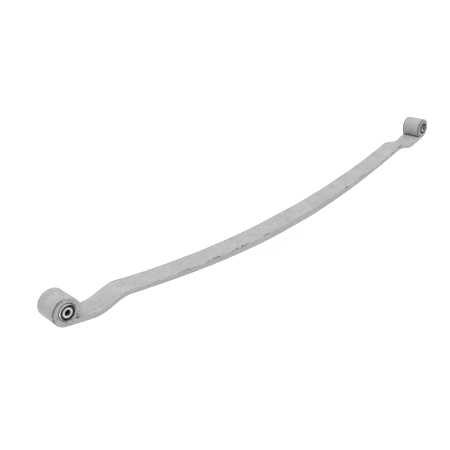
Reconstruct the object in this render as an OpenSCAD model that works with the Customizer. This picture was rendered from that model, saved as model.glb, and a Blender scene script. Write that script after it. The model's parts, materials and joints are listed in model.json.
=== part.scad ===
// Single-leaf (parabolic) suspension spring with an up-rolled, rubber-bushed eye at each end.
// +X runs along the leaf, Y across its width, +Z up. The origin is the centre of the underside
// of the axle seat. The leaf is one steel bar: it is cut at two planes so that each arm can flex.

/* [Leaf] */
// Distance from the middle of the seat to the axis of each eye
half_span = 830; // [780:5:880]
// Width of the bar
leaf_w = 70; // [60:1:80]
// Thickness of the bar over the axle seat
seat_t = 25; // [22:0.5:28]
// Thickness of the bar at the end of its taper
end_t = 15.5; // [12:0.5:16]
// Rise of the free leaf's curve from the seat to the eyes
arch_rise = 103; // [60:1:120]
// Share by which the curve straightens towards the eyes
arch_fade = 0.055; // [0:0.005:0.2]

/* [Axle seat] */
// Length of the flat axle seat
seat_l = 120; // [80:5:160]
// Length over which the flat runs out into the curve
seat_ease = 50; // [20:5:80]

/* [Eyes] */
// Bore of the rolled eye
eye_bore_d = 45; // [40:1:50]
// Thickness of the metal rolled over the top of the eye
eye_wall = 14.5; // [12:0.5:15]
// Thickness of the straight strap under the eye
strap_t = 17.5; // [16:0.5:19]
// Height of the strap's top above the bottom of the bore
strap_rise = 1; // [0.5:0.1:2]
// Depth of the joggle that drops the bar below the eye
joggle_h = 34.5; // [24:0.5:36]
// Length of the joggle
joggle_l = 112; // [90:1:130]
// Distance from the eye's axis to the end of the joggle
joggle_gap = 70; // [60:1:80]
// Gap between the rolled tip and the top of the bar
tip_gap = 0.8; // [0.5:0.1:2]
// Height of the hollow that rolling leaves in the tip's end face
tip_hollow = 7.5; // [3:0.5:8]
// Chamfer at each mouth of the eye bore
mouth_chamfer = 1.6; // [0.5:0.1:2]

/* [Bushes] */
// Wall of the outer sleeve
outer_wall = 2.2; // [1.5:0.1:3]
// Length of the outer sleeve that stands out of each side of the eye
outer_proud = 2.5; // [0.5:0.1:3]
// Amount by which the outer sleeve's ends are necked in, on the radius
outer_neck = 0.9; // [0.5:0.1:1.8]
// Outside diameter of the inner sleeve
inner_d = 26; // [22:0.5:28]
// Bore of the inner sleeve, for an M16 bolt
bolt_d = 16.2; // [12.2:0.5:18.2]
// Length of the inner sleeve that stands out of each side of the eye
inner_proud = 3; // [2:0.5:10]
// Depth of the rubber's ends inside the faces of the eye
rubber_recess = 3; // [1:0.5:8]

/* [Flexing] */
// Distance from the middle of the seat to each flex hinge
flex_x = 250; // [200:5:300]

/* [Hidden] */
$fn = 96;

steel = [0.72, 0.73, 0.74];
zinc = [0.80, 0.79, 0.75];
black = [0.07, 0.07, 0.07];
seat_half = seat_l / 2;
ease_x = seat_half + seat_ease;          // where the seat's run-out meets the main curve
strap_x = half_span - joggle_gap;        // from here out to the eye the bar is straight
joggle_x = strap_x - joggle_l;           // where the joggle starts
arc_step = 16;                           // spacing of the stations along the main curve
joggle_step = 7;                         // and along the joggle
running_gap = 0.05;                      // radial gap between the rubber and the inner sleeve
tangent_bite = 0.05;                     // the strap cuts this far into the eye's outer circle
swell_l = 45;                            // length over which the bar swells to the strap's thickness
tip_wall = 3;                            // left outside the hollow at the tip's corner
hollow_share = 0.6;                      // width of the hollow, as a share of its height
sleeve_chamfer = 0.8;
reach = 2 * half_span;                   // larger than anything that it cuts

// Rise and slope of the free curve at x >= 0, before the seat is flattened.
function arch(x) = arch_rise * ((1 + arch_fade) * pow(x / half_span, 2) - arch_fade * pow(x / half_span, 4));
function arch_slope(x) =
    arch_rise / half_span * (2 * (1 + arch_fade) * x / half_span - 4 * arch_fade * pow(x / half_span, 3));
seat_drop = arch(ease_x) - arch_slope(ease_x) * seat_ease / 2;

// Height of the curve above the seat's: flat, then a run-out, the arch and the straight strap.
function curve(x) =
    x <= seat_half ? 0
    : x <= ease_x ? arch_slope(ease_x) * pow(x - seat_half, 2) / (2 * seat_ease)
    : let (a = min(x, strap_x)) arch(a) - seat_drop + arch_slope(a) * (x - a);

// Shares of the joggle's depth and of the strap's swell that are reached at x.
function eased(u) = let (v = max(0, min(1, u))) v * v * (3 - 2 * v);
function joggle_share(x) = eased((x - joggle_x) / joggle_l);
function swell_share(x) = eased((x - strap_x) / swell_l + 0.5);

// Height of the bar's mid-line, its angle, and the bar's thickness, at any x.
function mid_z(x) = seat_t / 2 + curve(abs(x)) - joggle_h * joggle_share(abs(x));
function mid_angle(x) = atan(mid_z(x + 0.5) - mid_z(x - 0.5));
function thick(x) =
    let (a = max(abs(x), seat_half))
    max(end_t, seat_t * sqrt(max(0, half_span - a) / (half_span - seat_half)))
    + (strap_t - end_t) * swell_share(a);

// Point on the top (side = 1) or underside (side = -1) of the bar at station x.
function face(x, side) = [x, mid_z(x)] + side * thick(x) / 2 * [-sin(mid_angle(x)), cos(mid_angle(x))];

// Evenly spaced stations from a up to, but not including, b.
function between(a, b, step) = let (n = ceil((b - a) / step)) [for (k = [0 : n - 1]) a + (b - a) * k / n];
function negated(list) = [for (k = [len(list) - 1 : -1 : 0]) -list[k]];

// Stations of the middle span, which run past both flex planes before they are trimmed.
half_stations = concat(
    between(seat_half, ease_x, arc_step),
    between(ease_x, flex_x, arc_step),
    [flex_x, flex_x + arc_step]
);
span_stations = concat(negated(half_stations), half_stations);

// The eye, seen along its axis with the strap level: the strap's mid-line and top below the axis,
// and the outer circle, whose centre lies below the axis so that the wall thins towards the tip.
strap_top = eye_bore_d / 2 - strap_rise;
strap_mid = strap_top + strap_t / 2;
eye_high = eye_bore_d / 2 + eye_wall;
eye_low = strap_mid + strap_t / 2;
eye_r = (eye_high + eye_low) / 2;
eye_shift = (eye_low - eye_high) / 2;

// The strap's angle and end and the height of the eye's axis, in the plane of the profile.
strap_angle = atan(arch_slope(strap_x));
strap_end = half_span + (strap_mid - tangent_bite) * sin(strap_angle);
eye_z = mid_z(strap_end) + (strap_mid - tangent_bite) * cos(strap_angle);
arm_stations = concat(
    [flex_x - arc_step],
    between(flex_x, joggle_x, arc_step),
    between(joggle_x, strap_x, joggle_step),
    [strap_x, strap_end]
);

// Side outline of the bar through a list of stations.
module bar_outline(stations) {
    n = len(stations);
    polygon([
        for (x = stations) face(x, -1),
        for (k = [n - 1 : -1 : 0]) face(stations[k], 1)
    ]);
}

// Ring of the eye with the slot under its tip, about its own centre, strap along -X.
module rolled_ring() {
    tip_x = sqrt(eye_r * eye_r - pow(strap_top - eye_shift, 2));
    difference() {
        translate([0, -eye_shift]) circle(r = eye_r);
        translate([-eye_r, -strap_top]) square([eye_r, tip_gap]);
        translate([-tip_x, -strap_top])
            polygon([[tip_wall, 0], [tip_wall + hollow_share * tip_hollow, 0], [tip_wall, tip_hollow]]);
    }
}

// Side outline of the arm on the +X side, from the flex plane to the eye.
module arm_outline() {
    difference() {
        union() {
            intersection() {
                bar_outline(arm_stations);
                translate([flex_x, -reach]) square(2 * reach);
            }
            translate([half_span, eye_z]) rotate(strap_angle) rolled_ring();
        }
        translate([half_span, eye_z]) circle(d = eye_bore_d);
    }
}

// Stands a side outline up and gives it the width of the bar.
module across(width) {
    rotate([90, 0, 0]) linear_extrude(height = width, center = true) children();
}

// Puts a turned piece on the axis of the eye on the +X side.
module at_eye() {
    translate([half_span, 0, eye_z]) rotate([90, 0, 0]) children();
}

module arm() {
    difference() {
        across(leaf_w) arm_outline();
        at_eye() for (side = [0, 1]) mirror([0, 0, side])
            translate([0, 0, leaf_w / 2 - mouth_chamfer])
                cylinder(h = mouth_chamfer, r1 = eye_bore_d / 2, r2 = eye_bore_d / 2 + mouth_chamfer);
    }
}

// Pressed steel tube with necked ends.
module outer_sleeve() {
    r = eye_bore_d / 2;
    flank = leaf_w / 2 - mouth_chamfer;
    tip = leaf_w / 2 + outer_proud;
    at_eye() rotate_extrude() polygon([
        [r - outer_wall, -flank], [r - outer_wall - outer_neck, -tip], [r - outer_neck, -tip], [r, -flank],
        [r, flank], [r - outer_neck, tip], [r - outer_wall - outer_neck, tip], [r - outer_wall, flank]
    ]);
}

// Rubber moulded between the sleeves.
module rubber_bush() {
    at_eye() difference() {
        cylinder(h = leaf_w - 2 * rubber_recess, d = eye_bore_d - 2 * outer_wall, center = true);
        cylinder(h = leaf_w, d = inner_d + 2 * running_gap, center = true);
    }
}

// Thick steel tube that the eye bolt clamps.
module inner_sleeve() {
    tip = leaf_w / 2 + inner_proud;
    r = inner_d / 2;
    at_eye() rotate_extrude() polygon([
        [bolt_d / 2, -tip], [r - sleeve_chamfer, -tip], [r, -tip + sleeve_chamfer],
        [r, tip - sleeve_chamfer], [r - sleeve_chamfer, tip], [bolt_d / 2, tip]
    ]);
}

module leaf_seat_span() {
    color(steel) across(leaf_w) intersection() {
        bar_outline(span_stations);
        square([2 * flex_x, reach], center = true);
    }
}
module leaf_front_arm() { color(steel) mirror([1, 0, 0]) arm(); }
module leaf_rear_arm() { color(steel) arm(); }
module front_outer_sleeve() { color(zinc) mirror([1, 0, 0]) outer_sleeve(); }
module rear_outer_sleeve() { color(zinc) outer_sleeve(); }
module front_rubber_bush() { color(black) mirror([1, 0, 0]) rubber_bush(); }
module rear_rubber_bush() { color(black) rubber_bush(); }
module front_inner_sleeve() { color(zinc) mirror([1, 0, 0]) inner_sleeve(); }
module rear_inner_sleeve() { color(zinc) inner_sleeve(); }

leaf_seat_span();
leaf_front_arm();
leaf_rear_arm();
front_outer_sleeve();
rear_outer_sleeve();
front_rubber_bush();
rear_rubber_bush();
front_inner_sleeve();
rear_inner_sleeve();
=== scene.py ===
import json
import math

import bpy
import numpy as np
from mathutils import Matrix, Vector


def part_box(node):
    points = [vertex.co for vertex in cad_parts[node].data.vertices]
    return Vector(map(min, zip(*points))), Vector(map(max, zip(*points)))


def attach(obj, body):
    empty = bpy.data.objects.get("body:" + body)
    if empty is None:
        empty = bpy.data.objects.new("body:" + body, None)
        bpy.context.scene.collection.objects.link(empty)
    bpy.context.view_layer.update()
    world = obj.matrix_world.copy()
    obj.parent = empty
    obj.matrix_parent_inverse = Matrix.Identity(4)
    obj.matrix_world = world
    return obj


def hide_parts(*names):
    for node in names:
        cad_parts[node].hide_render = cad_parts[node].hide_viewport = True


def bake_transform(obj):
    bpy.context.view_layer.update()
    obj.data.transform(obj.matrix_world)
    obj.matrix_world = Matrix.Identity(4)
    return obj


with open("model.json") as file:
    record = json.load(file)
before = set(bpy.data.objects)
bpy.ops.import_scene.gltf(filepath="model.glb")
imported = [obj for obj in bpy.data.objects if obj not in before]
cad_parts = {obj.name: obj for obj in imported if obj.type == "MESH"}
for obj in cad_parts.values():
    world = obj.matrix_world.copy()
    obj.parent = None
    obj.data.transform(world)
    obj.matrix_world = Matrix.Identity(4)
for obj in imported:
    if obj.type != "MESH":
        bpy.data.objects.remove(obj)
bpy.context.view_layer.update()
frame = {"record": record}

# ---------------------------------------------------------------- sizes, in metres
MM = 0.001
MOUNTS = {m["name"]: m for m in frame["record"]["mounts"]}


def turned_size(node):
    """Outer radius and half length of a turned CAD piece that lies along Y."""
    low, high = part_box(node)
    return (high.x - low.x) / 2, high.y


HALF_SPAN = MOUNTS["rear_eye_bore"]["pos_m"][0]
EYE_Z = MOUNTS["rear_eye_bore"]["pos_m"][2]
BOLT_R = MOUNTS["rear_eye_bore"]["dims"]["r_mm"] * MM
SEAT_T = MOUNTS["clamp_pad"]["pos_m"][2]
ARM_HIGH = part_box("leaf_rear_arm")[1]
HALF_W = ARM_HIGH.y
BORE_R, OUTER_TIP = turned_size("rear_outer_sleeve")
INNER_R, INNER_TIP = turned_size("rear_inner_sleeve")
RUBBER_R, RUBBER_TIP = turned_size("rear_rubber_bush")

# The free curve of the leaf, as the CAD part draws it.
ARCH_RISE = 103 * MM
ARCH_FADE = 0.055
SEAT_HALF = 60 * MM
EASE_X = SEAT_HALF + 50 * MM
STRAP_X = HALF_SPAN - 70 * MM
JOGGLE_L = 112 * MM
JOGGLE_X = STRAP_X - JOGGLE_L
JOGGLE_H = 34.5 * MM
END_T = 15.5 * MM            # bar's thickness at the end of its taper
STRAP_T = 17.5 * MM          # and in the straight strap under the eye
SWELL_L = 45 * MM            # length over which it swells from one to the other
STRAP_TOP = BORE_R - 1 * MM  # from the eye's axis down to the strap's top

# Shapes that only the visual model has.
EDGE_R = 1.6 * MM            # rounding along the edges of the rolled bar
SUPPORT = 1.0 * MM           # extra row of faces beside each rounding
WIDTH_STEPS = 12
SIDE_STEPS = 14
CORNER_STEPS = 4
TIP_GAP = 0.8 * MM           # between the rolled tip and the top of the bar
HOLLOW_X = 29 * MM           # outer wall of the hollow in the tip's end, measured along the strap
HOLLOW_R = (32.4 * MM, 36.1 * MM)
TIP_X = 32 * MM              # outer corner of the tip's end, measured along the strap
ROLL_START = -math.pi / 2    # the eye's rings start square under its axis
ROLL_END = math.radians(150)
ROLL_STEPS = 60
SHEAR_TURN = math.radians(80)  # from there on the rings lean, until the last lies along the strap
SHEAR_STEPS = 28
FACE_DEPTH = 0.2 * MM        # vertices within this depth of a side belong to its face
EYE_MARGIN = 0.5 * MM        # vertices this far outside the eye's outer circle still belong to it
OUTER_NECK = 0.9 * MM        # how far the outer sleeve's ends are drawn in
INNER_ROUND = 0.7 * MM       # rounding of the inner sleeve's ends
RUNNING_GAP = 0.05 * MM      # between the rubber and the inner sleeve
RUBBER_DISH = 3.0 * MM       # depth of the dish in each face of the rubber

# Worn stretches of the upper and lower edges on the -Y side: middle, half length and depth. The
# other side has the same ones end for end.
WORN_UPPER = [
    (-455 * MM, 40 * MM, 0.6), (-350 * MM, 60 * MM, 0.8), (-250 * MM, 75 * MM, 0.65),
    (-121 * MM, 20 * MM, 0.6), (244 * MM, 16 * MM, 0.7), (305 * MM, 24 * MM, 0.7),
    (400 * MM, 32 * MM, 0.7), (539 * MM, 22 * MM, 0.7), (596 * MM, 20 * MM, 0.7), (655 * MM, 30 * MM, 1.0),
]
WORN_LOWER = [(-520 * MM, 50 * MM, 0.3), (110 * MM, 60 * MM, 0.3), (762 * MM, 13 * MM, 1.0)]
WEAR_REACH = 4.5 * MM        # how far wear spreads from an edge's crown

# Painted shade on the leaf: how far it spreads, and over what distance it fades.
MOUTH_SHADE = 1.1 * MM        # round the eye's mouth
MOUTH_FADE = 0.6 * MM
SEAM_SHADE = 5 * MM           # on the strap's top, beyond the tip's outer corner
SEAM_FADE = 3 * MM
CORNER_SHADE = (4 * MM, 6 * MM)  # round the tip's corners, on the side faces and elsewhere

# By side: -1 is the front and 1 the rear.
RIM_WEAR = {-1: 0.78, 1: 1.0}
# how strongly the bush's sleeves carry painted shade: all over the rear outer sleeve, and on the rear inner
# sleeve but for its lower front
BUSH_SHADE = {-1: 0.0, 1: 0.85}

FLOOR_Z = -65 * MM           # just lower than the arms reach when they bend fully


# ---------------------------------------------------------------- the leaf's curve
def arch(x):
    """Height of the arch above its middle, as it is before the seat is flattened."""
    u = x / HALF_SPAN
    return ARCH_RISE * ((1 + ARCH_FADE) * u ** 2 - ARCH_FADE * u ** 4)


def arch_slope(x):
    u = x / HALF_SPAN
    return ARCH_RISE / HALF_SPAN * (2 * (1 + ARCH_FADE) * u - 4 * ARCH_FADE * u ** 3)


def curve(x):
    """Height of the mid-line above its height over the seat, for x >= 0."""
    if x <= SEAT_HALF:
        return 0.0
    ease = EASE_X - SEAT_HALF
    if x <= EASE_X:
        return arch_slope(EASE_X) * (x - SEAT_HALF) ** 2 / (2 * ease)
    a = min(x, STRAP_X)
    return arch(a) - arch(EASE_X) + arch_slope(EASE_X) * ease / 2 + arch_slope(a) * (x - a)


def eased(u):
    """Rises smoothly from 0 to 1."""
    u = min(1.0, max(0.0, u))
    return u * u * (3 - 2 * u)


def mid_z(x):
    """Height of the bar's mid-line."""
    return SEAT_T / 2 + curve(abs(x)) - JOGGLE_H * eased((abs(x) - JOGGLE_X) / JOGGLE_L)


def thickness(x):
    """Parabolic taper of the bar, and its swell into the strap, for x >= 0."""
    a = max(x, SEAT_HALF)
    taper = SEAT_T * math.sqrt(max(0.0, HALF_SPAN - a) / (HALF_SPAN - SEAT_HALF))
    return max(END_T, taper) + (STRAP_T - END_T) * eased((a - STRAP_X) / SWELL_L + 0.5)


# The eye's outer circle is centred a little below its axis, so its wall is thinner opposite the strap.
STRAP_ANGLE = math.atan(arch_slope(STRAP_X))
STRAP_MID = STRAP_TOP + STRAP_T / 2
STRAP_END = HALF_SPAN + STRAP_MID * math.sin(STRAP_ANGLE)
EYE_LOW = STRAP_TOP + STRAP_T
EYE_SHIFT = (EYE_LOW - ARM_HIGH.z + EYE_Z) / (1 + math.cos(STRAP_ANGLE))
EYE_R = min(EYE_LOW - EYE_SHIFT, ARM_HIGH.x - HALF_SPAN - EYE_SHIFT * math.sin(STRAP_ANGLE))


def spaced(low, high, step):
    """Evenly spaced stations from low up to, but not including, high."""
    count = max(1, math.ceil((high - low) / step))
    return [low + (high - low) * k / count for k in range(count)]


# ---------------------------------------------------------------- the bar's section
def section(thick):
    """Levels of the bar's section from its underside up: (height, half width)."""
    low = []
    for k in range(CORNER_STEPS + 1):
        a = math.pi / 2 * k / CORNER_STEPS
        low.append((-thick / 2 + EDGE_R * (1 - math.cos(a)), HALF_W - EDGE_R * (1 - math.sin(a))))
    inner = thick / 2 - EDGE_R - SUPPORT
    side = [(inner * (2 * k / SIDE_STEPS - 1), HALF_W) for k in range(SIDE_STEPS + 1)]
    return low + side + [(-w, half) for w, half in reversed(low)]


def across(half):
    """Places across a level's width, close together beside its two ends."""
    inner = half - SUPPORT
    return [-half] + [inner * (2 * j / WIDTH_STEPS - 1) for j in range(WIDTH_STEPS + 1)] + [half]


def outline(levels):
    """The section's perimeter, anticlockwise from its lower left corner: (y, height)."""
    bottom = [(y, levels[0][0]) for y in across(levels[0][1])]
    top = [(y, levels[-1][0]) for y in reversed(across(levels[-1][1]))]
    right = [(half, w) for w, half in levels[1:-1]]
    left = [(-half, w) for w, half in reversed(levels[1:-1])]
    return bottom + right + top + left


def cap(levels, first, add):
    """Fills an end of the bar with a grid. first is the index of the end ring's first vertex."""
    top = len(levels) - 1
    n = len(across(1.0)) - 1
    grid = {}
    for j in range(n + 1):
        grid[(0, j)] = first + j
        grid[(top, n - j)] = first + n + top + j
    for k in range(1, top):
        grid[(k, n)] = first + n + k
        grid[(k, 0)] = first + 2 * n + 2 * top - k
        w, half = levels[k]
        for j, y in enumerate(across(half)[1:-1], 1):
            grid[(k, j)] = add(y, w)
    return [
        (grid[(k, j)], grid[(k, j + 1)], grid[(k + 1, j + 1)], grid[(k + 1, j)])
        for k in range(top) for j in range(n)
    ]


# ---------------------------------------------------------------- the leaf
def tip_height(r):
    """Height of the rolled tip's end face above the bar's top, at radius r about the eye."""
    low, high = HOLLOW_R
    if low < r < high:
        return max(TIP_GAP, STRAP_TOP - math.sqrt(r * r - HOLLOW_X * HOLLOW_X))
    return TIP_GAP


def tip_angle(r):
    """Angle about the eye at which the rolled tip ends, at radius r."""
    return 1.5 * math.pi - math.acos(min(1.0, (STRAP_TOP - tip_height(r)) / r))


def bar_point(x, w):
    """Point at height w above the mid-line, square to it."""
    a = STRAP_ANGLE
    if x < STRAP_X:
        a = math.atan((mid_z(x + 0.5 * MM) - mid_z(x - 0.5 * MM)) / MM)
    return x - w * math.sin(a), mid_z(x) + w * math.cos(a)


def wall_end(angle):
    """Radius of the eye's outer surface at an angle from the strap's direction."""
    return math.sqrt(EYE_R ** 2 - (EYE_SHIFT * math.cos(angle)) ** 2) - EYE_SHIFT * math.sin(angle)


def wall_r(angle, share):
    """Radius at a share of the wall's depth: 0 on the outer surface, 1 in the bore."""
    return BORE_R + (wall_end(angle) - BORE_R) * (1 - share)


def eye_point(angle, share):
    """Point in the eye's wall, at an angle from the strap's direction."""
    r = wall_r(angle, share)
    a = angle + STRAP_ANGLE
    return HALF_SPAN + r * math.cos(a), EYE_Z + r * math.sin(a)


def tip_point(share, u):
    """Point of the last turn before the tip, u = 1 at the end face."""
    end = ROLL_END
    # the wall's radius depends on the angle of the end, and the other way round
    for _ in range(6):
        end = tip_angle(wall_r(end, share))
    return eye_point(ROLL_END + (end - ROLL_END) * u, share)


def bar_stations():
    """Places along the bar that get a ring of vertices, closer together where its shape changes."""
    under_eye, at_end = STRAP_END - 38 * MM, STRAP_END - 9 * MM
    stations = [0.0, 20 * MM, 40 * MM]
    stations += spaced(SEAT_HALF, EASE_X, 8 * MM)
    stations += spaced(EASE_X, JOGGLE_X, 12 * MM)
    stations += spaced(JOGGLE_X, STRAP_X, 4 * MM)
    stations += spaced(STRAP_X, under_eye, 8 * MM)
    stations += spaced(under_eye, at_end, 2 * MM)
    stations += spaced(at_end, STRAP_END - 0.5 * MM, 0.8 * MM)
    return stations


def bore_cut(x):
    """Depth to which the bore cuts into the top of the strap beneath the eye."""
    off = (STRAP_END - x) / math.cos(STRAP_ANGLE)
    if off >= BORE_R:
        return 0.0
    return max(0.0, math.sqrt(max(0.0, BORE_R ** 2 - off ** 2)) - STRAP_TOP)


def leaf_rings():
    """(thickness, point at height w) of each ring of the sweep, from the middle to the tip."""
    rings = []
    for x in bar_stations():
        cut = bore_cut(x)
        rings.append((thickness(x) - cut, lambda w, x=x, cut=cut: bar_point(x, w - cut / 2)))
    for k in range(ROLL_STEPS + 1):
        a = ROLL_START + (ROLL_END - ROLL_START) * k / ROLL_STEPS
        thick = wall_end(a) - BORE_R
        rings.append((thick, lambda w, a=a, t=thick: eye_point(a, 0.5 + w / t)))
    for k in range(1, SHEAR_STEPS + 1):
        u = k / SHEAR_STEPS
        thick = wall_end(ROLL_END + SHEAR_TURN * u) - BORE_R
        rings.append((thick, lambda w, u=u, t=thick: tip_point(0.5 + w / t, u)))
    return rings


def swept_half(side):
    """Half of the leaf as a closed mesh: vertices, faces, and each vertex's (y, height, thickness)."""
    verts, faces, places = [], [], []
    rings = leaf_rings()

    def add(y, w, thick, point):
        x, z = point(w)
        verts.append((side * x, y, z))
        places.append((y, w, thick))
        return len(verts) - 1

    for thick, point in rings:
        for y, w in outline(section(thick)):
            add(y, w, thick, point)
    size = len(verts) // len(rings)
    for i in range(len(rings) - 1):
        for j in range(size):
            a, b = i * size + j, i * size + (j + 1) % size
            faces.append((a, b, b + size, a + size))
    for index, backwards in ((0, True), (len(rings) - 1, False)):
        thick, point = rings[index]
        made = cap(section(thick), index * size, lambda y, w: add(y, w, thick, point))
        faces += [f[::-1] for f in made] if backwards else made
    if side < 0:
        faces = [f[::-1] for f in faces]
    return np.array(verts), faces, np.array(places)


def make_object(name, verts, faces, sharp_deg=35):
    """Smooth mesh that keeps each vertex's place at rest."""
    mesh = bpy.data.meshes.new(name)
    mesh.from_pydata([tuple(v) for v in verts], [], faces)
    mesh.validate()
    mesh.shade_smooth()
    mesh.set_sharp_from_angle(angle=math.radians(sharp_deg))
    rest = mesh.attributes.new("rest", "FLOAT_VECTOR", "POINT")
    rest.data.foreach_set("vector", np.array(verts, np.float32).ravel())
    obj = bpy.data.objects.new(name, mesh)
    bpy.context.scene.collection.objects.link(obj)
    return obj


def store(obj, name, values):
    """Keeps a value from 0 to 1 for each vertex, for the materials to read."""
    attribute = obj.data.attributes.new(name, "FLOAT", "POINT")
    attribute.data.foreach_set("value", np.clip(values, 0, 1).astype(np.float32))


def turned_towards(verts, side, degrees):
    """Cosine of the angle between each vertex's direction from the eye's axis and one direction."""
    out_x = verts[:, 0] - side * HALF_SPAN
    out_z = verts[:, 2] - EYE_Z
    a = math.radians(degrees)
    return (out_x * math.cos(a) + out_z * math.sin(a)) / np.hypot(out_x, out_z)


def wear_along(worn, x, y):
    """How worn an edge is at x, from 0 to 1."""
    along = np.where(y < 0, x, -x)
    stretches = [depth * (1 - (np.abs(along - middle) / half) ** 2) for middle, half, depth in worn]
    return np.max(stretches, axis=0)


def eye_places(verts, side):
    """Each vertex's radius about the eye's axis, its distance from the axis towards the seat along
    the strap, and its height above the axis square to the strap. The strap's top is at -STRAP_TOP."""
    out_x = side * verts[:, 0] - HALF_SPAN
    out_z = verts[:, 2] - EYE_Z
    cos, sin = math.cos(STRAP_ANGLE), math.sin(STRAP_ANGLE)
    return np.hypot(out_x, out_z), -(out_x * cos + out_z * sin), out_z * cos - out_x * sin


def mark_wear(obj, side, verts, places, in_roll):
    """Marks the edges, and how worn they are along the bar and round the front of the eye's rim."""
    y, w, thick = places.T
    crown = EDGE_R * (2 - math.sqrt(2))
    from_edge = (HALF_W - np.abs(y)) + (thick / 2 - np.abs(w)) - crown
    store(obj, "edge", 1 - from_edge / WEAR_REACH)
    upper = wear_along(WORN_UPPER, verts[:, 0], y)
    lower = wear_along(WORN_LOWER, verts[:, 0], y)
    to_front = turned_towards(verts, side, 180)
    rim = RIM_WEAR[side] * (w < 0) * np.clip(to_front * 2.5 + 0.3, 0, 1)
    store(obj, "wear", np.where(in_roll, rim, np.where(w > 0, upper, lower)))


def mark_seam(obj, inward, height, on_side):
    """Marks for painted shade the gap under the rolled tip, the strap's top beneath it and the tip's end
    face.
    """
    corner = np.minimum(
        np.hypot(inward - HOLLOW_X, height + STRAP_TOP), np.hypot(inward - TIP_X, height + STRAP_TOP))
    on_top = (np.abs(height + STRAP_TOP) < 0.4 * MM) & (inward > 0)
    spread = np.where(on_side, *CORNER_SHADE)
    seam = np.where(on_top, (TIP_X + SEAM_SHADE - inward) / SEAM_FADE, 1 - corner / spread)
    # the inner vertices of the end face come last in the mesh, and any thickness has as many
    count = len(inward)
    end_count = (len(section(END_T)) - 2) * (WIDTH_STEPS + 1)
    store(obj, "seam", np.where(np.arange(count) >= count - end_count, 1.0, seam))


def leaf_half(name, side):
    """Half of the leaf, from its middle to the rolled eye, marked for the paint and its painted shade."""
    verts, faces, places = swept_half(side)
    obj = make_object(name, verts, faces)
    radius, inward, height = eye_places(verts, side)
    on_side = np.abs(places[:, 0]) > HALF_W - FACE_DEPTH
    in_eye = np.hypot(inward, height + EYE_SHIFT) < EYE_R + EYE_MARGIN
    mark_wear(obj, side, verts, places, in_eye & (height > -STRAP_TOP))
    store(obj, "face", in_eye & on_side)
    # painted shade round the mouth of the eye's bore
    store(obj, "mouth", (BORE_R + MOUTH_SHADE - radius) / MOUTH_FADE)
    mark_seam(obj, inward, height, on_side)
    # vertex normals at rest, for the painted shade underneath and on faces that don't face up
    normals = np.zeros(3 * len(verts), np.float32)
    obj.data.vertex_normals.foreach_get("vector", normals)
    store(obj, "down", -normals[2::3])
    store(obj, "up", normals[2::3])
    return obj


# ---------------------------------------------------------------- the bushes
def arc(centre, r, start, end, steps):
    """Points of an arc in the (radius, y) plane, angles in degrees."""
    angles = [math.radians(start + (end - start) * k / steps) for k in range(steps + 1)]
    return [(centre[0] + r * math.cos(a), centre[1] + r * math.sin(a)) for a in angles]


def turned(name, half_profile, side, segments=144):
    """Turns a profile about the axis of an eye. half_profile is its part at y >= 0, inside first."""
    profile = half_profile + [(r, -y) for r, y in reversed(half_profile) if y > 0]
    verts, faces = [], []
    count = len(profile)
    for i in range(segments):
        a = 2 * math.pi * i / segments
        for r, y in profile:
            verts.append((side * HALF_SPAN + r * math.cos(a), y, EYE_Z + r * math.sin(a)))
    for i in range(segments):
        after = (i + 1) % segments
        for j in range(count):
            k = (j + 1) % count
            faces.append((i * count + j, i * count + k, after * count + k, after * count + j))
    return make_object(name, verts, faces, 50)


def turned_places(obj, side):
    """Vertices of a turned piece, and each one's radius and distance from the middle of the axis."""
    verts = np.array([v.co for v in obj.data.vertices])
    radius = np.hypot(verts[:, 0] - side * HALF_SPAN, verts[:, 2] - EYE_Z)
    return verts, radius, np.abs(verts[:, 1])


def outer_sleeve(name, side):
    """Pressed tube whose ends stand out of the eye, necked in and rounded over."""
    lip = (BORE_R - RUBBER_R) / 2
    flank = HALF_W - EDGE_R
    neck_y = HALF_W + 0.7 * MM
    half = [(RUBBER_R, 0), (RUBBER_R, flank - 1 * MM), (RUBBER_R, flank)]
    half += [(RUBBER_R - OUTER_NECK * 0.6, HALF_W), (RUBBER_R - OUTER_NECK * 0.95, neck_y)]
    half += arc((BORE_R - OUTER_NECK - lip, OUTER_TIP - lip), lip, 180, 0, 10)
    half += [(BORE_R - OUTER_NECK * 0.95, neck_y), (BORE_R - OUTER_NECK * 0.6, HALF_W)]
    half += [(BORE_R, flank), (BORE_R, flank - 1 * MM), (BORE_R, 0)]
    obj = turned(name, half, side)
    verts, radius, out = turned_places(obj, side)
    # painted shade, near black, lies inside, against the eye, and on the lip except at its upper front,
    # which faces the light
    start = np.where(radius > BORE_R - OUTER_NECK - lip, HALF_W + 0.6 * MM, OUTER_TIP - 0.8 * MM)
    shaded = 0.88 * np.clip(0.9 - 1.2 * turned_towards(verts, side, 135), 0, 1)
    # the rear sleeve gets painted shade all over
    shaded = np.maximum(shaded, BUSH_SHADE[side])
    store(obj, "painted_shade", np.maximum(shaded, (start - out) / (0.5 * MM)))
    return obj


def rubber_bush(name, side):
    """Rubber with a dished face at each end, dusty and painted lighter, as if lit, on the side turned to
    the front.
    """
    bore = INNER_R + RUNNING_GAP
    middle, half_gap = (bore + RUBBER_R) / 2, (RUBBER_R - bore) / 2
    half = [(bore, 0)]
    for k in range(13):
        u = k / 6 - 1
        half.append((middle + half_gap * u, RUBBER_TIP - RUBBER_DISH * (1 - u ** 4)))
    half.append((RUBBER_R, 0))
    obj = turned(name, half, side)
    verts = turned_places(obj, side)[0]
    # dust and painted light: lighter on the side turned to the front
    store(obj, "dust_and_sheen", 1.6 * turned_towards(verts, side, 180) - 0.5)
    return obj


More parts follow.
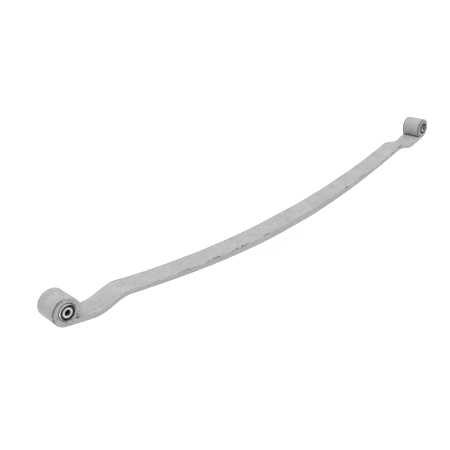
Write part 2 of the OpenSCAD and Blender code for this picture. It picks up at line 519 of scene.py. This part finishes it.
def inner_sleeve(name, side):
    """Thick tube with rounded ends for the eye bolt, shaded dark in its bore. The rear one carries painted
    shade except at its lower front.
    """
    r = INNER_ROUND
    half = [(BOLT_R, 0)]
    # rows of faces in which the painted shade in the bore fades out
    half += [(BOLT_R, INNER_TIP - depth) for depth in (10 * MM, 6.5 * MM, 4 * MM, 2 * r)]
    half += arc((BOLT_R + r, INNER_TIP - r), r, 180, 90, 4)
    half += [(BOLT_R + 2 * r, INNER_TIP), (INNER_R - 2 * r, INNER_TIP)]
    half += arc((INNER_R - r, INNER_TIP - r), r, 90, 0, 5)
    half += [(INNER_R, INNER_TIP - 2 * r), (INNER_R, INNER_TIP - 4 * MM), (INNER_R, 0)]
    obj = turned(name, half, side)
    verts, radius, out = turned_places(obj, side)
    deep = (INNER_TIP - 4 * MM - out) / (2.5 * MM)
    # painted shade on the rear sleeve, except at its lower front
    bush_shade = BUSH_SHADE[side] * np.clip(0.7 - 1.2 * turned_towards(verts, side, 225), 0, 1)
    store(obj, "painted_shade", np.where(radius < BOLT_R + 0.1 * MM, np.clip(deep, bush_shade, 1), bush_shade))
    return obj


# ---------------------------------------------------------------- materials
SCALE_BLACK = (0.075, 0.073, 0.070)  # mill scale, where the paint is off


class Nodes:
    """A short way to write a material's node tree."""

    def __init__(self, name):
        self.material = bpy.data.materials.new(name)
        self.material.use_nodes = True
        self.tree = self.material.node_tree
        self.shader = self.tree.nodes["Principled BSDF"]

    def add(self, kind, sockets=None, **settings):
        """New node, with its settings and inputs."""
        made = self.tree.nodes.new(kind)
        for key, value in settings.items():
            setattr(made, key, value)
        for key, value in (sockets or {}).items():
            self.put(made.inputs[key], value)
        return made

    def put(self, socket, value):
        """Links an output to the socket, or sets the socket to a constant."""
        if isinstance(value, bpy.types.NodeSocket):
            self.tree.links.new(value, socket)
        else:
            socket.default_value = value

    def rest(self, stretch=None):
        """Each point's place at rest, so that the texture stays put as the piece bends."""
        where = self.add("ShaderNodeAttribute", attribute_name="rest").outputs["Vector"]
        if stretch is None:
            return where
        made = self.add("ShaderNodeVectorMath", operation="MULTIPLY")
        self.put(made.inputs[0], where)
        self.put(made.inputs[1], stretch)
        return made.outputs["Vector"]

    def attribute(self, name):
        return self.add("ShaderNodeAttribute", attribute_name=name).outputs["Fac"]

    def noise(self, where, scale, detail=4.0, roughness=0.55, distortion=0.0):
        made = self.add("ShaderNodeTexNoise", {
            "Vector": where, "Scale": scale, "Detail": detail,
            "Roughness": roughness, "Distortion": distortion})
        return made.outputs["Fac"]

    def ramp(self, value, *stops):
        """stops are (position, colour or grey)."""
        made = self.add("ShaderNodeValToRGB", {"Fac": value})
        elements = made.color_ramp.elements
        while len(elements) < len(stops):
            elements.new(0.5)
        for element, (position, colour) in zip(elements, stops):
            element.position = position
            element.color = (*colour, 1) if isinstance(colour, tuple) else (colour, colour, colour, 1)
        return made.outputs["Color"]

    def math(self, operation, a, b=0.0):
        made = self.add("ShaderNodeMath", operation=operation)
        self.put(made.inputs[0], a)
        self.put(made.inputs[1], b)
        return made.outputs["Value"]

    def times(self, *values):
        """Product of the values."""
        result = values[0]
        for value in values[1:]:
            result = self.math("MULTIPLY", result, value)
        return result

    def total(self, *parts):
        """Weighted sum of (value, weight) pairs."""
        terms = [self.times(value, weight) for value, weight in parts]
        result = terms[0]
        for term in terms[1:]:
            result = self.math("ADD", result, term)
        return result

    def mix(self, share, a, b):
        """a where share is 0 and b where it is 1."""
        made = self.add("ShaderNodeMix", data_type="RGBA")
        self.put(made.inputs["Factor"], share)
        for key, value in ((6, a), (7, b)):
            self.put(made.inputs[key], (*value, 1) if isinstance(value, tuple) else value)
        return made.outputs[2]

    def bump(self, height, strength, distance):
        made = self.add("ShaderNodeBump", {"Height": height, "Strength": strength, "Distance": distance})
        return made.outputs["Normal"]

    def surface(self, sockets):
        """Sets the shader's sockets, by name."""
        for key, value in sockets.items():
            self.put(self.shader.inputs[key], value)


def primer(n, where, streaks, grain):
    """Grey paint with faint clouds, and a painted shade that makes it darker where it doesn't face up."""
    clouds = n.noise(where, 28, 4, 0.55)
    mottle = n.noise(where, 150, 4, 0.65)
    tone = n.total((clouds, 0.25), (mottle, 0.40), (streaks, 0.20), (grain, 0.15))
    paint = n.ramp(tone, (0.42, (0.322, 0.323, 0.322)), (0.58, (0.420, 0.421, 0.419)))
    # painted shade: faces that don't face up are mixed towards a darker grey
    return n.mix(n.ramp(n.attribute("up"), (0.25, 0.50), (0.97, 0.0)), paint, (0.24, 0.24, 0.238))


def worn_edges(n, where, base):
    """Paint lighter along the edges' crowns, partly rubbed and partly a painted highlight, and worn through
    in short dashes on the worn stretches.
    """
    edge = n.attribute("edge")
    wear = n.attribute("wear")
    patches = n.noise(where, 60, 3)
    crown = n.ramp(edge, (0.62, 0.0), (0.95, 1.0))
    rubbed_and_highlight = n.times(crown, n.ramp(patches, (0.42, 0.0), (0.56, 1.0)))
    # painted highlight, with rubbed paint, along the edges' crowns
    base = n.mix(n.times(rubbed_and_highlight, 0.5), base, (0.50, 0.50, 0.49))
    ticks = n.noise(n.rest((0.75, 1.0, 1.0)), 130, 3, 0.6)
    dashes = n.ramp(n.total((ticks, 1.1), (patches, 0.17), (wear, 0.30)), (0.80, 0.0), (0.86, 1.0))
    bare = n.ramp(n.total((edge, 1.0), (wear, 0.45)), (0.78, 0.0), (0.99, 1.0))
    return n.mix(n.times(bare, dashes, 0.8), base, SCALE_BLACK)


def chip_mask(n, along):
    """Small chips, more of them near a worn edge."""
    edge = n.attribute("edge")
    lift = n.times(edge, n.total((n.attribute("wear"), 0.22), (edge, 0.04)))
    return n.ramp(n.math("ADD", n.noise(along, 170, 3, 0.65), lift), (0.69, 0.0), (0.74, 1.0))


def specked(n, where, chips, base):
    """Chips, specks all over, and nicks on the side faces of the eye."""
    base = n.mix(n.times(chips, 0.7), base, SCALE_BLACK)
    specks = n.ramp(n.noise(where, 240, 2, 0.5), (0.72, 0.0), (0.76, 1.0))
    base = n.mix(n.times(specks, 0.45), base, (0.15, 0.15, 0.145))
    nicks = n.ramp(n.noise(where, 180, 2, 0.5), (0.60, 0.0), (0.64, 1.0))
    return n.mix(n.times(nicks, n.attribute("face"), 0.9), base, (0.07, 0.068, 0.066))


def shade_below_and_in_gaps(n, base):
    """Painted shade underneath, in the seam under the rolled tip and round the mouth of the eye."""
    # painted shade: faces turned down are darkened
    base = n.mix(n.times(n.attribute("down"), 0.25), base, (0.16, 0.16, 0.158))
    # painted shade, near black, in the gap under the rolled tip
    base = n.mix(n.times(n.attribute("seam"), 0.93), base, (0.022, 0.022, 0.021))
    # painted shade, near black, round the eye's mouth
    return n.mix(n.times(n.attribute("mouth"), 0.97), base, (0.008, 0.008, 0.009))


def leaf_paint():
    """Light grey primer over mill scale, with painted shade and a painted highlight."""
    n = Nodes("leaf_paint")
    where = n.rest()
    along = n.rest((0.4, 1.0, 1.0))
    streaks = n.noise(along, 90, 4, 0.6, 0.3)
    grain = n.noise(where, 420, 3, 0.6)
    chips = chip_mask(n, along)
    base = worn_edges(n, where, primer(n, where, streaks, grain))
    # painted shade underneath, in the seam under the rolled tip and round the eye's mouth
    base = shade_below_and_in_gaps(n, specked(n, where, chips, base))
    relief = n.total((n.noise(where, 160, 4, 0.6), 0.6), (grain, 0.3), (chips, -0.5))
    n.surface({
        "Base Color": base,
        "Roughness": n.ramp(streaks, (0.3, 0.50), (0.7, 0.66)),
        "Metallic": 0.0,
        "Specular IOR Level": 0.4,
        "Normal": n.bump(relief, 0.3, 0.0005),
    })
    return n.material


def bare_steel(name, dark, light, roughness, ring_scale):
    """Turned or drawn steel with fine rings round its axis, stains, and a near black painted shade where
    the piece lies in shade.
    """
    n = Nodes(name)
    where = n.rest()
    stain = n.noise(where, 120, 5, 0.65)
    painted_shade = n.attribute("painted_shade")
    metal = n.ramp(stain, (0.35, dark), (0.65, light))
    waves = {"Vector": where, "Scale": ring_scale, "Distortion": 2.0, "Detail": 2.0}
    rings = n.add("ShaderNodeTexWave", waves, bands_direction="Y")
    relief = n.total((rings.outputs["Fac"], 0.5), (n.noise(where, 1500, 2, 0.5), 0.5))
    n.surface({
        # painted shade darkens the colour to near black and takes the shine away
        "Base Color": n.mix(n.times(painted_shade, 0.97), metal, (0.012, 0.011, 0.011)),
        "Metallic": n.times(n.math("SUBTRACT", 1.0, painted_shade), 0.6),
        "Roughness": n.ramp(stain, (0.3, roughness - 0.08), (0.7, roughness + 0.1)),
        "Normal": n.bump(relief, 0.2, 0.0002),
    })
    return n.material


def bush_rubber():
    """Black rubber with a dusty bloom and a painted sheen of light on one side."""
    n = Nodes("bush_rubber")
    where = n.rest()
    dust_and_sheen = n.noise(where, 90, 5, 0.6)
    black = n.ramp(dust_and_sheen, (0.35, (0.012, 0.012, 0.012)), (0.7, (0.045, 0.042, 0.042)))
    # dust and a painted sheen of light on the side turned to the front
    bloom_and_sheen = n.times(n.attribute("dust_and_sheen"), n.ramp(dust_and_sheen, (0.35, 0.35), (0.6, 1.0)))
    n.surface({
        "Base Color": n.mix(bloom_and_sheen, black, (0.20, 0.175, 0.17)),
        "Roughness": n.ramp(dust_and_sheen, (0.3, 0.5), (0.7, 0.75)),
        "Normal": n.bump(n.noise(where, 700, 3, 0.6), 0.3, 0.0004),
    })
    return n.material


# ---------------------------------------------------------------- building
MATERIALS = {
    "leaf_paint": leaf_paint(),
    "outer_sleeve_steel": bare_steel(
        "outer_sleeve_steel", dark=(0.50, 0.49, 0.48), light=(0.80, 0.79, 0.77),
        roughness=0.32, ring_scale=500),
    "bush_rubber": bush_rubber(),
    "inner_sleeve_zinc": bare_steel(
        "inner_sleeve_zinc", dark=(0.38, 0.38, 0.375), light=(0.50, 0.50, 0.49),
        roughness=0.45, ring_scale=700),
}


def dress(obj, slot, *nodes):
    """Gives a piece its material and hides the CAD nodes it stands for."""
    obj.data.materials.append(MATERIALS[slot])
    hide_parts(*nodes)
    return obj


def add_leaf_half(end, side):
    """Half of the leaf, in its place at rest."""
    leaf = dress(leaf_half(f"leaf_{end}_half", side), "leaf_paint", f"leaf_{end}_arm", "leaf_seat_span")
    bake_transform(leaf)


def add_bush(end, side):
    """The outer sleeve and rubber ride on the arm, and the inner sleeve twists in them."""
    outer = outer_sleeve(f"{end}_bush_outer_sleeve", side)
    rubber = rubber_bush(f"{end}_bush_rubber", side)
    inner = inner_sleeve(f"{end}_bush_inner_sleeve", side)
    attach(dress(outer, "outer_sleeve_steel", f"{end}_outer_sleeve"), f"{end}_arm")
    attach(dress(rubber, "bush_rubber", f"{end}_rubber_bush"), f"{end}_arm")
    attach(dress(inner, "inner_sleeve_zinc", f"{end}_inner_sleeve"), f"{end}_sleeve")


for end, side in (("front", -1), ("rear", 1)):
    add_leaf_half(end, side)
    add_bush(end, side)


# ---------------------------------------------------------------- stage
SKY_SLOPE = (0.08, 1.58)     # the dome's strength rises with height between these
SKY_LEAST = 0.7              # and is never less than this, which evens out its lowest 24 degrees
CAMERA_PLACE = (-1.37245, -1.14020, 0.90353)
CAMERA_LENS = 48.459
HEADING = 0.80302            # radians anticlockwise from +X, seen from above
DIP = 0.46737                # radians below the horizon
ROLL = 0.06038               # radians about the line of sight


def floor():
    """Large plane that glows a little, so that it comes out white."""
    bpy.ops.mesh.primitive_plane_add(size=30.0, location=(0, 0, FLOOR_Z))
    plane = bpy.context.object
    plane.name = "studio_floor"
    n = Nodes("studio_floor")
    n.surface({
        "Base Color": (0.95, 0.95, 0.95, 1),
        "Roughness": 0.9,
        "Specular IOR Level": 0.0,
        "Emission Color": (1, 1, 1, 1),
        "Emission Strength": 0.35,
    })
    plane.data.materials.append(n.material)


def sky():
    """A soft white dome: pale and even near the horizon, then brighter towards the top."""
    world = bpy.data.worlds.new("studio")
    bpy.context.scene.world = world
    world.use_nodes = True
    tree = world.node_tree
    direction = tree.nodes.new("ShaderNodeTexCoord").outputs["Generated"]
    split = tree.nodes.new("ShaderNodeSeparateXYZ")
    tree.links.new(direction, split.inputs["Vector"])
    slope = tree.nodes.new("ShaderNodeMapRange")
    tree.links.new(split.outputs["Z"], slope.inputs["Value"])
    slope.inputs["From Min"].default_value = 0.0
    slope.inputs["From Max"].default_value = 1.0
    slope.inputs["To Min"].default_value, slope.inputs["To Max"].default_value = SKY_SLOPE
    level = tree.nodes.new("ShaderNodeMath")
    level.operation = "MAXIMUM"
    tree.links.new(slope.outputs["Result"], level.inputs[0])
    level.inputs[1].default_value = SKY_LEAST
    background = tree.nodes["Background"]
    background.inputs["Color"].default_value = (1, 1, 1, 1)
    tree.links.new(level.outputs["Value"], background.inputs["Strength"])


def area_light(name, place, target, size, power):
    """Round soft light that points at its target."""
    data = bpy.data.lights.new(name, "AREA")
    data.shape = "DISK"
    data.size = size
    data.energy = power
    light = bpy.data.objects.new(name, data)
    light.location = place
    light.rotation_euler = (Vector(target) - Vector(place)).to_track_quat("-Z", "Y").to_euler()
    bpy.context.scene.collection.objects.link(light)


def camera():
    """Stands off the front eye and looks along the leaf and down on it."""
    data = bpy.data.cameras.new("camera")
    data.sensor_width = 36
    data.lens = CAMERA_LENS
    data.clip_end = 100
    cam = bpy.data.objects.new("camera", data)
    forward = Vector((math.cos(DIP) * math.cos(HEADING), math.cos(DIP) * math.sin(HEADING), -math.sin(DIP)))
    right = forward.cross(Vector((0, 0, 1))).normalized()
    down = forward.cross(right)
    cam_x = math.cos(ROLL) * right + math.sin(ROLL) * down
    cam_y = math.sin(ROLL) * right - math.cos(ROLL) * down
    turn = Matrix((cam_x, cam_y, -forward)).transposed().to_4x4()
    cam.matrix_world = Matrix.Translation(CAMERA_PLACE) @ turn
    bpy.context.scene.collection.objects.link(cam)
    bpy.context.scene.camera = cam


floor()
sky()
area_light("key", place=(-1.0, -0.6, 5.0), target=(-0.1, 0, 0.05), size=2.5, power=61)
camera()
bpy.context.scene.view_settings.view_transform = "Standard"

bpy.context.view_layer.update()
